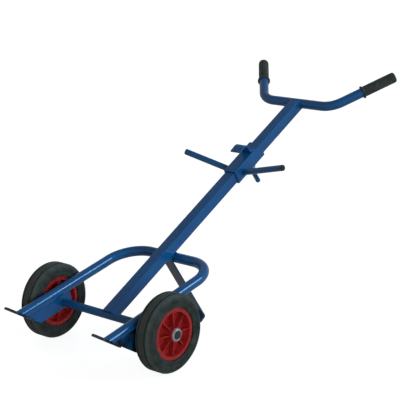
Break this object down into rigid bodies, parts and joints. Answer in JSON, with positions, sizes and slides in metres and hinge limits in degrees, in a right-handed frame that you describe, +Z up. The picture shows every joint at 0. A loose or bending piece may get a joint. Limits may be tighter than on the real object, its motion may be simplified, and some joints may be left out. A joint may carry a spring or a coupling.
{
  "type": "drum trolley",
  "caption": "Two-wheeled drum trolley with an inclined square spine, bent tube cradle, toes, rear parking leg, splayed handle bar and a sliding, screw-clamped rim hook.",
  "frame": {"origin": "on the floor, in the middle of the trolley's overall box", "axes": "+Z up, +Y back towards the handle, +X along the axle to the trolley's right"},
  "size_m": [0.5882, 1.3408, 0.7659],
  "materials": {
    "paint": "gloss",
    "tyre": "matte",
    "wheel_centre": "satin",
    "bush": "satin",
    "grip": "satin",
    "zinc": "zinc plated"
  },
  "bodies": {
    "frame": {"axle_bar": "paint", "axle_collar_left": "zinc", "axle_collar_right": "zinc", "cradle_hoop": "paint", "grip_left": "grip", "grip_right": "grip", "handle_bar": "paint", "rear_leg": "paint", "retaining_ring_left": "zinc", "retaining_ring_right": "zinc", "side_plate_left": "paint", "side_plate_right": "paint", "spine_tube": "paint", "toe_left": "paint", "toe_right": "paint", "wheel_washer_left": "zinc", "wheel_washer_right": "zinc"},
    "hook_slide": {"arm_plug_left": "grip", "arm_plug_right": "grip", "chime_hook": "paint", "hook_sleeve": "paint", "lock_nut": "zinc", "slide_arm_left": "paint", "slide_arm_right": "paint"},
    "clamp_pad": {"clamp_pad": "zinc"},
    "lock_screw": {"lock_screw": "zinc", "lock_tee_bar": "paint"},
    "wheel_left": {"hub_bush_left": "bush", "tyre_left": "tyre", "wheel_rim_left": "wheel_centre"},
    "wheel_right": {"hub_bush_right": "bush", "tyre_right": "tyre", "wheel_rim_right": "wheel_centre"}
  },
  "joints": [
    {"name": "wheel_left_spin", "type": "hinge", "parent": "frame", "child": "wheel_left", "pos_m": [-0.2415, -0.42452, 0.1175], "axis": [1, 0, 0], "continuous": true},
    {"name": "wheel_right_spin", "type": "hinge", "parent": "frame", "child": "wheel_right", "pos_m": [0.2415, -0.42452, 0.1175], "axis": [1, 0, 0], "continuous": true},
    {"name": "hook_travel", "type": "slide", "parent": "frame", "child": "hook_slide", "axis": [0, 0.8634, 0.5045], "range_m": [-0.3, 0.21]},
    {"name": "pad_travel", "type": "slide", "parent": "hook_slide", "child": "clamp_pad", "axis": [0, 0.5045, -0.8634], "range_m": [-0.00025, 0.0042]},
    {"name": "screw_turn", "type": "hinge", "parent": "clamp_pad", "child": "lock_screw", "pos_m": [0, 0.24925, 0.46489], "axis": [0, 0.5045, -0.8634], "range_deg": [-55, 870]}
  ],
  "couplings": [
    {"joint": "screw_turn", "follows": "pad_travel", "rad_per_m": 3590.4}
  ]
}
